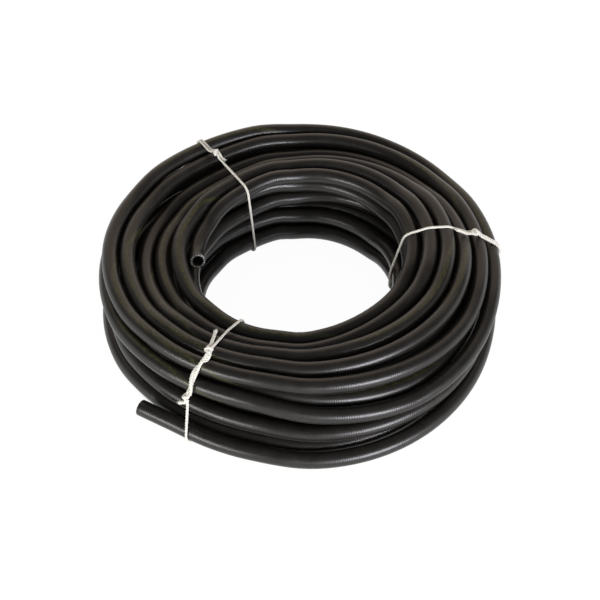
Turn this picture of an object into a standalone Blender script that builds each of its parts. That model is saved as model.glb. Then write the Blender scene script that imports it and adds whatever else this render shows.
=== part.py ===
"""A bare coil of rubber hose, held by three tied strings.

One hose is wound in five passes of piled loops: a foot pass that runs inward on the floor,
a pass outward on it, one steep loop back across, a third pass outward and a top pass inward.
Each loop is laid where it comes to rest on the loops under it.  The inner end of the hose
lies in the eye of the coil, and the other end leaves along the floor at the front.  The cut
ends show the bore and a ring of reinforcing yarn.  Lengths are metres, +Z is up.
"""
import math

import bmesh
import bpy
import numpy as np

MM = 0.001
TURN = 2.0 * math.pi

# Hose: half-inch bore, three quarters of an inch over the cover
HOSE_DIAMETER = 19.0 * MM
HOSE_BORE = 12.7 * MM
HOSE_SIDES = 6
BORE_SIDES = 4

# Reinforcing yarn, seen end on in both cut faces
YARN_RING_DIAMETER = 15.4 * MM
YARN_THICKNESS = 1.0 * MM
YARN_STUB = 5.0 * MM
YARN_PROUD = 0.4 * MM
YARN_COUNT = 14
YARN_CLEARANCE = 0.3 * MM

# Winding
EYE_RADIUS = 125.0 * MM         # to the middle of the innermost strands
STRAND_GAP = 1.1 * MM           # air between strands where they touch
FOOT_COLUMNS = 5.85             # columns out that the pass on the floor begins
FOOT_INNER = -0.35              # column where that pass turns back
FOOT_LOOPS = 5.90               # loops of that pass
PASS_COLUMNS = 5.52             # columns, and loops, of each pass on top of it
CROSSING_LOOPS = 0.90           # the steep loop from the outside back to the eye
EYE_REST_LOOPS = 0.12           # part of a loop that it stays at the eye
INNER_END_ANGLE = 176.0         # degrees, seen from above, anticlockwise from +X
POINTS_PER_LOOP = 17
SUBSTEPS = 4                    # finer steps between two points, on which the loops settle
REVERSAL_LOOPS = 0.35           # half the stretch in which a pass turns round
SETTLE_LOOPS = 0.06             # half the stretch that a strand bridges when it climbs
FLAT_DEPTH = 0.1 * HOSE_DIAMETER
FREE_END_LENGTH = 54.0 * MM
FREE_END_LIFT = 6.0 * MM
INNER_END_LENGTH = 22.0 * MM
INNER_END_TURN = 12.0           # degrees that the inner end points into the eye
INNER_END_RISE = 15.0           # degrees that it points up, off the loops under it
STRAND_SLACK = 0.45 * MM        # least room between columns, at the strings
OVAL = (2.0 * MM, 34.0)         # size, direction in degrees
TRIANGLE = (1.2 * MM, 29.0)

# How the foot, second, third and top pass lie, each from a true circle; angles in degrees
DRIFT_RIGHT = (-1.0 * MM, 1.0 * MM, 2.1 * MM, 5.5 * MM)
DRIFT_BACK = (-8.5 * MM, -5.5 * MM, 0.0 * MM, 4.3 * MM)
BULGES = (                      # room that the columns gain between two strings
    {"middle": 62.0, "spread": 58.0, "room": (1.3 * MM, 1.3 * MM, 1.3 * MM, 1.3 * MM)},
    {"middle": 300.0, "spread": 58.0, "room": (0.5 * MM, 3.1 * MM, 3.1 * MM, 3.1 * MM)},
)
SHIFTS = (                      # stretches where whole passes lie farther out or in
    {"middle": 78.0, "spread": 60.0, "out": (6.0 * MM, 6.0 * MM, 6.0 * MM, 6.0 * MM)},
    {"middle": 125.0, "spread": 58.0, "out": (-8.0 * MM, -8.0 * MM, -8.8 * MM, -8.0 * MM)},
    {"middle": 292.0, "spread": 58.0, "out": (10.0 * MM, -1.0 * MM, -4.0 * MM, -8.0 * MM)},
)

# Strings
STRING_DIAMETER = 2.8 * MM
STRING_SIDES = 6
STRING_POINTS = 64
STRING_CLEARANCE = 0.35 * MM
TIE_REACH = 34.0                # degrees either side in which the coil lifts off the floor
TIE_SLOPE = 16.0                # degrees of that in which it rises
STRING_PLAY = 0.15 * MM         # a little more room where the string lies along itself
KNOT_TURNS = 2
LAST_KNOT_TURNS = 2.5           # its tail comes out on the other side
TAIL_RISE = 0.10                # how fast a loose tail stands off the coil
SWAY_PLANES = 3                 # upright planes in which a swaying string clears the strands
SWAY_RADIUS = 230.0 * MM        # about where a string sways, from the coil's axis

# Each string crosses the coil at an angle.  Places along a string are given as the way they
# face from the middle of the strands: 0 out, 90 up, 180 to the eye, degrees.  Sways are such
# places, each with how far the string lies aside of its plane there.
TIES = (
    {"name": "tie_right", "angle": 6.0, "doubled": (20.0, 58.0), "knots": (50.0,),
     "sways": ((0.0, 0.0),),
     "tails": ({"length": 6.0 * MM, "lean": 0.20}, {"length": 20.0 * MM, "lean": -0.05})},
    {"name": "tie_back_left", "angle": 122.0, "doubled": (16.0, 72.0), "knots": (64.0,),
     "sways": ((0.0, 0.0),),
     "tails": ({"length": 7.0 * MM, "lean": 0.30}, {"length": 9.0 * MM, "lean": -0.06})},
    {"name": "tie_front_left", "angle": 241.5, "doubled": (22.0, 84.0), "knots": (22.0, 73.0),
     "sways": ((-160.0, 0.0), (-80.0, 9.0 * MM), (-35.0, 9.0 * MM), (22.0, 0.0), (69.0, 6.0 * MM),
               (125.0, 0.0)),
     "tails": ({"length": 4.0 * MM, "lean": 2.20}, {"length": 25.0 * MM, "lean": -0.25})},
)

BLACK_RUBBER = (0.018, 0.018, 0.019, 1.0)
WHITE_COTTON = (0.80, 0.79, 0.76, 1.0)
GREY_YARN = (0.62, 0.63, 0.62, 1.0)


def smoothstep(share):
    share = np.clip(share, 0.0, 1.0)
    return share * share * (3.0 - 2.0 * share)


def polyline_length(points):
    return np.linalg.norm(np.diff(points, axis=0), axis=1).sum()


def smooth_bump(angle, spread):
    """1 at angle zero, falling to 0 at spread, both in radians."""
    near = (angle + math.pi) % TURN - math.pi
    return np.where(np.abs(near) < spread, 0.5 + 0.5 * np.cos(math.pi * near / spread), 0.0)


def pass_ends():
    """Loops laid and column reached at each end of a pass."""
    ends = [(0.0, FOOT_COLUMNS)]
    for loops, column in ((FOOT_LOOPS, FOOT_INNER),
                          (PASS_COLUMNS - FOOT_INNER, PASS_COLUMNS),
                          (CROSSING_LOOPS, 0.0),
                          (EYE_REST_LOOPS, 0.0),
                          (PASS_COLUMNS, PASS_COLUMNS),
                          (PASS_COLUMNS, 0.0)):
        ends.append((ends[-1][0] + loops, column))
    return ends


def by_pass(values, loops, ends):
    """A value of each pass along the strand, changing over where the pass turns round."""
    level = np.zeros_like(loops)
    for reversal in (1, 2, 5):
        at = ends[reversal][0]
        level += np.interp(loops, (at - REVERSAL_LOOPS, at + REVERSAL_LOOPS), (0.0, 1.0))
    return np.interp(level, range(len(values)), values)


def columns(loops, ends):
    """Column of the strand after so many loops, with each reversal rounded off."""
    at = [end[0] for end in ends]
    to = [end[1] for end in ends]
    rate_in = (to[1] - to[0]) / (at[1] - at[0])
    rate_out = (to[-1] - to[-2]) / (at[-1] - at[-2])
    total = np.zeros_like(loops)
    weights = 0.0
    for step in np.linspace(-1.0, 1.0, 21):
        weight = 1.0 - 0.95 * abs(step)
        x = loops + step * REVERSAL_LOOPS
        value = np.interp(x, at, to)
        value = value + np.minimum(x - at[0], 0.0) * rate_in
        value = value + np.maximum(x - at[-1], 0.0) * rate_out
        total += weight * value
        weights += weight
    return total / weights


def settled_height(rho, floor, per_loop):
    """Height of each point of the strand, laid in order on the floor and on earlier loops."""
    pitch = HOSE_DIAMETER + STRAND_GAP
    reach = max(1, round(SETTLE_LOOPS * per_loop))
    count = len(rho)
    climb = np.zeros(count)
    bridged = np.zeros(count)
    height = np.zeros(count)
    for i in range(count + 2 * reach):
        if i < count:
            for j in range(i - per_loop, -1, -per_loop):
                aside = abs(rho[i] - rho[j])
                if aside < pitch:
                    rest = height[j] + math.sqrt(pitch ** 2 - aside ** 2)
                    climb[i] = max(climb[i], rest - floor[i])
        k = i - reach
        if 0 <= k < count:
            bridged[k] = climb[max(0, k - reach):min(count, i + 1)].max()
        m = i - 2 * reach
        if 0 <= m < count:
            height[m] = floor[m] + bridged[max(0, m - reach):min(count, k + 1)].mean()
    return height


def hose_route():
    """Points of the hose's middle line, from the free end to the end in the eye."""
    ends = pass_ends()
    per_loop = POINTS_PER_LOOP * SUBSTEPS
    count = POINTS_PER_LOOP * SUBSTEPS * ends[-1][0]
    count = SUBSTEPS * round(count / SUBSTEPS)
    loops = ends[-1][0] - np.arange(count, -1, -1) / per_loop
    theta = math.radians(INNER_END_ANGLE) + TURN * (loops - ends[-1][0])

    pitch = np.full(count + 1, HOSE_DIAMETER + STRAND_GAP + STRAND_SLACK)
    for bulge in BULGES:
        bump = smooth_bump(theta - math.radians(bulge["middle"]), math.radians(bulge["spread"]))
        pitch += by_pass(bulge["room"], loops, ends) * bump
    rho = EYE_RADIUS + pitch * columns(loops, ends)
    for shift in SHIFTS:
        bump = smooth_bump(theta - math.radians(shift["middle"]), math.radians(shift["spread"]))
        rho += by_pass(shift["out"], loops, ends) * bump
    rho += by_pass(DRIFT_RIGHT, loops, ends) * np.cos(theta)
    rho += by_pass(DRIFT_BACK, loops, ends) * np.sin(theta)
    rho += OVAL[0] * np.sin(2.0 * theta + math.radians(OVAL[1]))
    rho += TRIANGLE[0] * np.sin(3.0 * theta + math.radians(TRIANGLE[1]))

    under_string = STRING_DIAMETER + STRING_CLEARANCE + FLAT_DEPTH + STRING_CLEARANCE
    near_tie = np.zeros_like(theta)
    for tie in TIES:
        off = np.degrees((theta - math.radians(tie["angle"]) + math.pi) % TURN - math.pi)
        near_tie = np.maximum(near_tie, smoothstep((TIE_REACH - np.abs(off)) / TIE_SLOPE))
    floor = HOSE_DIAMETER / 2 - FLAT_DEPTH + under_string * near_tie
    floor += (FREE_END_LIFT + FLAT_DEPTH) * np.maximum(0.0, 1.0 - loops / 0.16) ** 2
    height = settled_height(rho, floor, per_loop)
    route = np.stack([rho * np.cos(theta), rho * np.sin(theta), height], axis=1)
    return route[::SUBSTEPS]


def with_ends(route):
    """The route with its two straight end stretches."""
    def around(place, turned=0.0):
        bearing = math.atan2(place[1], place[0]) + math.radians(turned)
        return np.array([-math.sin(bearing), math.cos(bearing), 0.0])
    rise = math.radians(INNER_END_RISE)
    ahead = math.cos(rise) * around(route[-1], INNER_END_TURN)
    ahead[2] = math.sin(rise)
    free = route[0] - around(route[0]) * FREE_END_LENGTH
    return np.vstack([free, route, route[-1] + ahead * INNER_END_LENGTH])


def least_gap(route):
    """Least air between two stretches of the hose that are a third of a loop apart or more."""
    start = route[:-1]
    along = route[1:] - start
    apart = POINTS_PER_LOOP // 3
    least = np.inf
    for i in range(len(start) - apart):
        steps = np.linspace(0.0, 1.0, 9)[:, None, None]
        points = start[i] + steps * along[i]
        others = start[i + apart:]
        runs = along[i + apart:]
        share = ((points - others) * runs).sum(2) / (runs * runs).sum(1)
        foot = others + np.clip(share, 0.0, 1.0)[:, :, None] * runs
        least = min(least, np.linalg.norm(points - foot, axis=2).min())
    return least - HOSE_DIAMETER


def hose_frames(points):
    """Along, outward and upward directions at each point of the route."""
    runs = np.diff(points, axis=0)
    runs /= np.linalg.norm(runs, axis=1)[:, None]
    along = np.vstack([runs[0], runs[:-1] + runs[1:], runs[-1]])
    along /= np.linalg.norm(along, axis=1)[:, None]
    outward = np.cross(along, (0.0, 0.0, 1.0))
    outward /= np.linalg.norm(outward, axis=1)[:, None]
    return along, outward, np.cross(outward, along)


def ring_of(bm, centre, outward, upward, radius, sides, first=0.0, least_z=None):
    """A ring of vertices as (angle, vertex) pairs; first is the first angle in degrees."""
    ring = []
    for k in range(sides):
        angle = math.radians(first) + TURN * k / sides
        place = centre + radius * (math.cos(angle) * outward + math.sin(angle) * upward)
        if least_z is not None:
            place[2] = max(place[2], least_z)
        ring.append((angle, bm.verts.new(place)))
    return ring


def stitch(bm, ring_a, ring_b):
    """Close the band between two rings, which may differ in sides, with triangles."""
    i = 0
    j = 0
    count_a = len(ring_a)
    count_b = len(ring_b)
    while i < count_a or j < count_b:
        a0 = ring_a[i % count_a][1]
        b0 = ring_b[j % count_b][1]
        next_a = ring_a[i + 1][0] if i + 1 < count_a else ring_a[0][0] + TURN
        next_b = ring_b[j + 1][0] if j + 1 < count_b else ring_b[0][0] + TURN
        if i < count_a and (j >= count_b or next_a <= next_b):
            bm.faces.new((a0, ring_a[(i + 1) % count_a][1], b0))
            i += 1
        else:
            bm.faces.new((a0, ring_b[(j + 1) % count_b][1], b0))
            j += 1


def finish(name, bm, material, sharp_angle=40.0):
    """Make the object of a closed mesh, faces out, rounds smooth and edges sharp."""
    bmesh.ops.recalc_face_normals(bm, faces=bm.faces)
    mesh = bpy.data.meshes.new(name)
    bm.to_mesh(mesh)
    bm.free()
    for polygon in mesh.polygons:
        polygon.use_smooth = True
    mesh.set_sharp_from_angle(angle=math.radians(sharp_angle))
    mesh.materials.append(material)
    item = bpy.data.objects.new(name, mesh)
    bpy.context.scene.collection.objects.link(item)
    return item


def mouth(bm, hose_ring, bore_ring, points, frame, end):
    """Round off one end of the hose: true circles, and the groove that holds the yarn."""
    along, outward, upward = frame
    tip = points[end]
    before = points[1] if end == 0 else points[-2]
    inward = (before - tip) / np.linalg.norm(before - tip)
    start = tip + inward * 0.75 * INNER_END_LENGTH
    middle = YARN_RING_DIAMETER / 2
    half_groove = YARN_THICKNESS / 2 + YARN_CLEARANCE
    floor = tip + inward * (YARN_STUB + YARN_CLEARANCE)
    half = HOSE_DIAMETER / 2
    first = 15.0
    profile = [ring_of(bm, start, outward, upward, half, 24, first, 0.0),
               ring_of(bm, tip, outward, upward, half, 24, first, 0.0),
               ring_of(bm, tip, outward, upward, middle + half_groove, 24, first),
               ring_of(bm, floor, outward, upward, middle + half_groove, 24, first),
               ring_of(bm, floor, outward, upward, middle - half_groove, 24, first),
               ring_of(bm, tip, outward, upward, middle - half_groove, 24, first),
               ring_of(bm, tip, outward, upward, HOSE_BORE / 2, 12, first),
               ring_of(bm, start, outward, upward, HOSE_BORE / 2, 12, first)]
    stitch(bm, hose_ring, profile[0])
    for ring, following in zip(profile, profile[1:]):
        stitch(bm, ring, following)
    stitch(bm, profile[-1], bore_ring)


def make_hose(points, material):
    """The whole hose, one tube with its bore, cut flat where it rests on the floor."""
    along, outward, upward = hose_frames(points)
    bm = bmesh.new()
    hose_rings = []
    bore_rings = []
    for centre, out, up in list(zip(points, outward, upward))[1:-1]:
        hose_rings.append(ring_of(bm, centre, out, up, HOSE_DIAMETER / 2, HOSE_SIDES, 0.0, 0.0))
        bore_rings.append(ring_of(bm, centre, out, up, HOSE_BORE / 2, BORE_SIDES, 45.0))
    for rings in (hose_rings, bore_rings):
        for ring, following in zip(rings, rings[1:]):
            sides = len(ring)
            for k in range(sides):
                a = ring[k][1]
                b = ring[(k + 1) % sides][1]
                c = following[(k + 1) % sides][1]
                d = following[k][1]
                bm.faces.new((a, b, c, d))
    for end in (0, -1):
        frame = (along[end], outward[end], upward[end])
        mouth(bm, hose_rings[end], bore_rings[end], points, frame, end)
    return finish("hose", bm, material)


def make_yarn_ring(name, points, end, material):
    """Cut ends of the reinforcing yarn, a lobed ring that stands a little out of its groove."""
    along, outward, upward = (part[end] for part in hose_frames(points))
    tip = points[end]
    facing = -along if end == 0 else along
    bm = bmesh.new()
    rings = []
    for out_of_mouth, side, lobed in ((-YARN_STUB, 1, 0.0), (0.0, 1, 1.0), (0.0, -1, 1.0),
                                      (-YARN_STUB, -1, 0.0)):
        ring = []
        for k in range(2 * YARN_COUNT):
            angle = TURN * k / (2 * YARN_COUNT)
            lobe = 1.0 if k % 2 == 0 else 0.55
            radius = YARN_RING_DIAMETER / 2 + side * lobe * YARN_THICKNESS / 2
            proud = lobed * YARN_PROUD * (1.0 if k % 2 == 0 else -0.6)
            place = tip + facing * (out_of_mouth + proud)
            place = place + radius * (math.cos(angle) * outward + math.sin(angle) * upward)
            ring.append((angle, bm.verts.new(place)))
        rings.append(ring)
    for ring, following in zip(rings, rings[1:] + rings[:1]):
        stitch(bm, ring, following)
    return finish(name, bm, material, 60.0)


def crossing_points(points, angle):
    """Where the hose crosses an upright plane through the axis: (rho, z, slant).

    slant is how much longer the hose's section is there than a square one.
    """
    normal = np.array([-math.sin(angle), math.cos(angle), 0.0])
    radial = np.array([math.cos(angle), math.sin(angle), 0.0])
    side = points @ normal
    found = []
    for i in range(len(points) - 1):
        if (side[i] < 0.0) != (side[i + 1] < 0.0):
            run = points[i + 1] - points[i]
            place = points[i] + run * side[i] / (side[i] - side[i + 1])
            if place @ radial > 0.0:
                slant = np.linalg.norm(run) / abs(run @ normal)
                found.append((place @ radial, place[2], slant))
    return found


def taut_path(strands):
    """Closed line of a taut string round the strands: the hull of circles about them."""
    dots = []
    for rho, z, slant in strands:
        reach = slant * HOSE_DIAMETER / 2 + STRING_CLEARANCE + STRING_DIAMETER / 2
        for k in range(36):
            turn = TURN * k / 36
            dots.append((rho + reach * math.cos(turn), z + reach * math.sin(turn)))
    dots.sort()

    def half_hull(ordered):
        hull = []
        for dot in ordered:
            while len(hull) > 1 and ((hull[-1][0] - hull[-2][0]) * (dot[1] - hull[-2][1])
                                     <= (hull[-1][1] - hull[-2][1]) * (dot[0] - hull[-2][0])):
                hull.pop()
            hull.append(dot)
        return hull[:-1]

    hull = np.array(half_hull(dots) + half_hull(dots[::-1]))
    loop = np.vstack([hull, hull[:1]])
    walked = np.concatenate([[0.0], np.cumsum(np.linalg.norm(np.diff(loop, axis=0), axis=1))])
    stations = np.linspace(0.0, walked[-1], STRING_POINTS, endpoint=False)
    return np.stack([np.interp(stations, walked, loop[:, k]) for k in (0, 1)], axis=1)


class StringLine:
    """The line of one string round the coil, read by the length walked from the eye, underneath."""

    def __init__(self, points, tie):
        angle = math.radians(tie["angle"])
        self.radial = np.array([math.cos(angle), math.sin(angle), 0.0])
        self.across = np.array([-math.sin(angle), math.cos(angle), 0.0])
        self.sways = [aside for degrees, aside in tie["sways"]]
        strands = []
        for aside in np.linspace(0.0, max(self.sways), SWAY_PLANES if max(self.sways) > 0.0 else 1):
            strands += crossing_points(points, angle + aside / SWAY_RADIUS)
        self.path = taut_path(strands)
        self.middle = self.path.mean(axis=0)
        loop = np.vstack([self.path, self.path[:1]])
        lengths = np.linalg.norm(np.diff(loop, axis=0), axis=1)
        self.walked = np.concatenate([[0.0], np.cumsum(lengths)])
        self.loop = loop
        self.sway_places = [self.facing(degrees) for degrees, aside in tie["sways"]]

    def flat_place(self, walked):
        walked = walked % self.walked[-1]
        return np.array([np.interp(walked, self.walked, self.loop[:, k]) for k in (0, 1)])

    def place(self, walked, aside=0.0, lift=0.0):
        """A point so far along the string, moved across it and off the coil."""
        rho, z = self.flat_place(walked)
        ahead = self.flat_place(walked + MM) - self.flat_place(walked - MM)
        ahead /= np.linalg.norm(ahead)
        rho += lift * ahead[1]
        z -= lift * ahead[0]
        aside += np.interp(walked % self.walked[-1], self.sway_places, self.sways)
        return self.radial * rho + self.across * aside + np.array([0.0, 0.0, z])

    def facing(self, degrees):
        """Length walked to the point that faces this way from the middle of the strands."""
        turned = np.arctan2(self.path[:, 1] - self.middle[1], self.path[:, 0] - self.middle[0])
        off = (turned - math.radians(degrees) + math.pi) % TURN - math.pi
        return self.walked[int(np.argmin(np.abs(off)))]


def lay_string(line, tie):
    """Points and radii of one whole string, from tail to tail.

    It starts as a tail, runs once round the coil, and where it meets itself again it lies
    beside its first run, turns round it at each knot and ends as the other tail.
    """
    beside = STRING_DIAMETER + STRING_CLEARANCE + STRING_PLAY
    start = line.facing(tie["doubled"][0])
    stop = line.facing(tie["doubled"][1])
    whole = line.walked[-1]
    if stop < start:
        stop += whole
    turn_length = 1.08 * beside
    knots = []
    for degrees in tie["knots"]:
        knot = line.facing(degrees)
        turns = LAST_KNOT_TURNS if degrees == tie["knots"][-1] else KNOT_TURNS
        knots.append((knot + whole if knot < start else knot, turns))
    shift = 3.0 * STRING_DIAMETER
    first_tail, last_tail = tie["tails"]

    def lift_at(walked):
        raised = 0.0
        for knot, turns in knots:
            off = (abs(walked - knot) - turns * turn_length / 2) / shift
            raised = max(raised, 1.0 - smoothstep(off))
        return beside * raised

    def first_run(walked):
        past = max(0.0, start - shift - walked)
        aside = -beside * (1.0 - smoothstep((walked - start + shift) / shift))
        return aside - first_tail["lean"] * past, lift_at(walked) + TAIL_RISE * past

    def second_run(walked):
        past = max(0.0, walked - stop)
        aside, lift = first_run(walked)
        if walked < start - shift:
            return 0.0, 0.0
        turned = 0.0
        for knot, turns in knots:
            share = min(1.0, max(0.0, (walked - knot) / (turns * turn_length) + 0.5))
            turned += TURN * turns * share
        aside += beside * math.cos(turned) + last_tail["lean"] * past
        return aside, lift + beside * math.sin(turned) + TAIL_RISE * past

    fine = turn_length / 10
    coarse = whole / STRING_POINTS
    near = shift / 4
    early = np.arange(start - shift - first_tail["length"], stop, near)
    single = np.arange(stop, start - shift + whole, coarse)
    late = [start - shift + whole]
    while late[-1] < stop + whole + last_tail["length"]:
        in_knot = any(abs(late[-1] - whole - knot) < turns * turn_length / 2 + near
                      for knot, turns in knots)
        late.append(late[-1] + (fine if in_knot else near))
    points = [line.place(walked, *first_run(walked)) for walked in early]
    points += [line.place(walked) for walked in single]
    points += [line.place(walked, *second_run(walked - whole)) for walked in late]
    radii = np.full(len(points), STRING_DIAMETER / 2)
    radii[:2] *= (1.25, 1.05)
    radii[-2:] *= (1.05, 1.25)
    return points, radii


def make_tie(tie, points, material):
    """One string, a single tube along its real way round the coil and through its knots."""
    line = StringLine(points, tie)
    way, radii = lay_string(line, tie)
    way = np.asarray(way)
    along = np.gradient(way, axis=0)
    along /= np.linalg.norm(along, axis=1)[:, None]
    side = line.across - along[0] * (line.across @ along[0])
    bm = bmesh.new()
    rings = []
    for place, ahead, radius in zip(way, along, radii):
        side = side - ahead * (side @ ahead)
        side /= np.linalg.norm(side)
        rings.append(ring_of(bm, place, side, np.cross(ahead, side), radius, STRING_SIDES))
    for ring, following in zip(rings, rings[1:]):
        stitch(bm, ring, following)
    for ring in (rings[0], rings[-1]):
        bm.faces.new([vert for _, vert in ring])
    print(f"{tie['name']}: string {polyline_length(way):.2f} m")
    return finish(tie["name"], bm, material)


def make_material(name, colour, roughness, metallic=0.0):
    material = bpy.data.materials.new(name)
    material.use_nodes = True
    shader = material.node_tree.nodes["Principled BSDF"]
    shader.inputs["Base Color"].default_value = colour
    shader.inputs["Roughness"].default_value = roughness
    shader.inputs["Metallic"].default_value = metallic
    return material


def stand_on_middle(items):
    """Move every object so that the box round them all is centred on the Z axis."""
    places = []
    for item in items:
        places += [tuple(vert.co) for vert in item.data.vertices]
    low = np.min(places, axis=0)
    high = np.max(places, axis=0)
    for item in items:
        item.location = (-(low[0] + high[0]) / 2, -(low[1] + high[1]) / 2, 0.0)


def main():
    for item in list(bpy.data.objects):
        bpy.data.objects.remove(item, do_unlink=True)
    rubber = make_material("black_rubber", BLACK_RUBBER, 0.38)
    cotton = make_material("cotton_string", WHITE_COTTON, 0.85)
    yarn = make_material("reinforcing_yarn", GREY_YARN, 0.80)

    points = with_ends(hose_route())
    make_hose(points, rubber)
    make_yarn_ring("outer_end_yarns", points, 0, yarn)
    make_yarn_ring("inner_end_yarns", points, -1, yarn)
    for tie in TIES:
        make_tie(tie, points, cotton)
    stand_on_middle(list(bpy.data.objects))
    bpy.context.view_layer.update()

    print(f"hose length {polyline_length(points):.2f} m")
    print(f"least gap of the hose to itself {least_gap(points) / MM:.2f} mm")


main()
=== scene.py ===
"""A bare coil of rubber hose, held by three tied strings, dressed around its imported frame.

One hose is piled up in loops, the way it comes off a winding machine: a foot pass on the floor,
passes out and in again on top of it, and one end left in the eye.  Three cotton strings hold it,
each drawn once round all the strands and knotted to itself.  Lengths are metres, +Z is up.
"""

import math
import random

import bmesh
import bpy
import numpy as np
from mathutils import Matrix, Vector


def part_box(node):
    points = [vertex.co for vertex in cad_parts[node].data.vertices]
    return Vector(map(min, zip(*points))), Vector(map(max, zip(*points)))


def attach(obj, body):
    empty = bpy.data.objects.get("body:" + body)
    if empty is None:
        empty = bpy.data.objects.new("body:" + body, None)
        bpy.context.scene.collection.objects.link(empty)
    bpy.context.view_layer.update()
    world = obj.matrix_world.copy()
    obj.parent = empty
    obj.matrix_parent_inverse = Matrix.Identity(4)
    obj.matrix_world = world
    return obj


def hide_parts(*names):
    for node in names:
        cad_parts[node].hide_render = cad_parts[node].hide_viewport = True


bl_info = {
    "name": "Tied hose coil",
    "version": (1, 0, 0),
    "blender": (4, 5, 0),
    "location": "3D View > Sidebar > Hose Coil",
    "description": "Winds a rubber hose into a tied coil, with its yarn ends, strings and stage",
    "category": "Add Mesh",
}

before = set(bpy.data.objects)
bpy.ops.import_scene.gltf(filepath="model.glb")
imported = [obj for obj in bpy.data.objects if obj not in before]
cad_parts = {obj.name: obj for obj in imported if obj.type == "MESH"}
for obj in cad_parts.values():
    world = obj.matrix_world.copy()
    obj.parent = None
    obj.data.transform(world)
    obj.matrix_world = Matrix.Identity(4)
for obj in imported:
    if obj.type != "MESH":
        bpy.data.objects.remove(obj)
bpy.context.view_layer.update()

MM = 0.001
TURN = 2.0 * math.pi

# Winding, as the solid hose is wound
STRAND_GAP = 1.1 * MM           # air between strands where they touch
STRAND_SLACK = 0.45 * MM        # least room between columns, at the strings
FOOT_COLUMNS = 5.85             # columns out that the pass on the floor begins
FOOT_INNER = -0.35              # column where that pass turns back
FOOT_LOOPS = 5.90               # loops of that pass
PASS_COLUMNS = 5.52             # columns, and loops, of each pass on top of it
CROSSING_LOOPS = 0.90           # the steep loop from the outside back to the eye
EYE_REST_LOOPS = 0.12           # part of a loop that it stays at the eye
INNER_END_ANGLE = 176.0         # degrees, seen from above, anticlockwise from +X
STEPS_PER_LOOP = 68             # steps of the route, on which the loops settle
STEPS_PER_POINT = 4             # of them, from one point of the solid hose to the next
REVERSAL_LOOPS = 0.35           # half the stretch in which a pass turns round
SETTLE_LOOPS = 0.06             # half the stretch that a strand bridges when it climbs
FLAT_DEPTH = 1.9 * MM           # how far the lowest strands are pressed flat on the floor
FREE_END_LENGTH = 54.0 * MM
FREE_END_LIFT = 6.0 * MM
INNER_END_LENGTH = 22.0 * MM
INNER_END_TURN = 12.0           # degrees that the inner end points into the eye
INNER_END_RISE = 15.0           # degrees that it points up, off the loops under it
OVAL = (2.0 * MM, 34.0)         # size, direction in degrees
TRIANGLE = (1.2 * MM, 29.0)
# How the foot, second, third and top pass lie, each from a true circle; angles in degrees
DRIFT_RIGHT = (-1.0 * MM, 1.0 * MM, 2.1 * MM, 5.5 * MM)
DRIFT_BACK = (-8.5 * MM, -5.5 * MM, 0.0 * MM, 4.3 * MM)
BULGES = (                      # room that the columns gain between two strings
    {"middle": 62.0, "spread": 58.0, "room": (1.3 * MM, 1.3 * MM, 1.3 * MM, 1.3 * MM)},
    {"middle": 300.0, "spread": 58.0, "room": (0.5 * MM, 3.1 * MM, 3.1 * MM, 3.1 * MM)},
)
SHIFTS = (                      # stretches where whole passes lie farther out or in
    {"middle": 78.0, "spread": 60.0, "out": (6.0 * MM, 6.0 * MM, 6.0 * MM, 6.0 * MM)},
    {"middle": 125.0, "spread": 58.0, "out": (-8.0 * MM, -8.0 * MM, -8.8 * MM, -8.0 * MM)},
    {"middle": 292.0, "spread": 58.0, "out": (10.0 * MM, -1.0 * MM, -4.0 * MM, -8.0 * MM)},
)
FREE_END_SINKS = 0.16           # loops in which the free end comes down to the floor
FREE_END_LOOPS = 0.04           # about how many loops each end goes on beyond the winding
INNER_END_LOOPS = 0.02
REVERSAL_SAMPLES = 21           # in the stretch over which a reversal is rounded off
REVERSAL_FADE = 0.95            # how much less the samples at its ends count
YARN_STUB = 5.0 * MM            # depth of the solid yarn ring, and how far it stands out
YARN_PROUD = 0.4 * MM

# The hose's skin
HOSE_SIDES = 24
BORE_EDGE = 0.3 * MM            # width of the liner's crisp edge in the cut face
COVER_EDGE = 0.5 * MM           # rounding of the cover at the cut
RIB_SPACING = 2.6 * MM          # between two ribs left by the wrap, coarse enough to show
RIB_DEPTH = 0.028 * MM

# Stretches of the hose, in loops from its free end, where the faded line shows
LINE_SHOWS = ((13.72, 13.83), (17.13, 17.27), (17.92, 17.99), (18.36, 18.46), (18.63, 18.73),
              (18.88, 19.00), (19.42, 19.49), (19.84, 20.00), (20.28, 20.33), (20.89, 20.97),
              (21.16, 21.32), (21.61, 21.92), (22.75, 23.12))
LINE_TURNS_OVER = 0.07          # loops in which it turns up into view, and out of it again

# Strings, as the solid strings are laid
STRING_CLEARANCE = 0.35 * MM
TIE_REACH = 34.0                # degrees either side in which the coil lifts off the floor
TIE_SLOPE = 16.0                # degrees of that in which it rises
STRING_PLAY = 0.15 * MM         # a little more room where the string lies along itself
TAIL_RISE = 0.10                # how fast a loose tail stands off the coil
KNOT_FULLNESS = 1.08            # how much thicker the cotton swells in a knot
# A knot's line, by shares of its points: it winds on twice, comes back and crosses over
KNOT_POINTS = 34
KNOT_SHARES = (0.0, 0.62, 0.82, 1.0)
KNOT_ALONG = (-1.0, 1.0, -0.5, 1.2)     # in half lengths of the knot, from its middle
KNOT_LEFT = 1.25                # where the next stretch begins, in the same measure
HALF_KNOT = 1.08                # half a knot's length, in the room between two runs
SNUG = 0.86                     # from middle to middle in a tight winding, in string diameters
HUMP = 0.62                     # how much farther out the string crosses over a knot
HUMP_RISE = 0.08                # share of the points in which it steps out to there
JOIN = 3.0                      # string diameters in which two runs come together
STRING_STEP = 1.2 * MM          # between two points of the line, where it lies doubled
LONE_STEP = 2.4 * MM            # and where it doesn't
HULL_DOTS = 48                  # points round each strand that the string may touch
PATH_POINTS = 256               # of one turn of the string round the coil
STRING_SIDES = 18
STRING_RINGS = 0.75 * MM        # between two rings of the string's mesh
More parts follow.
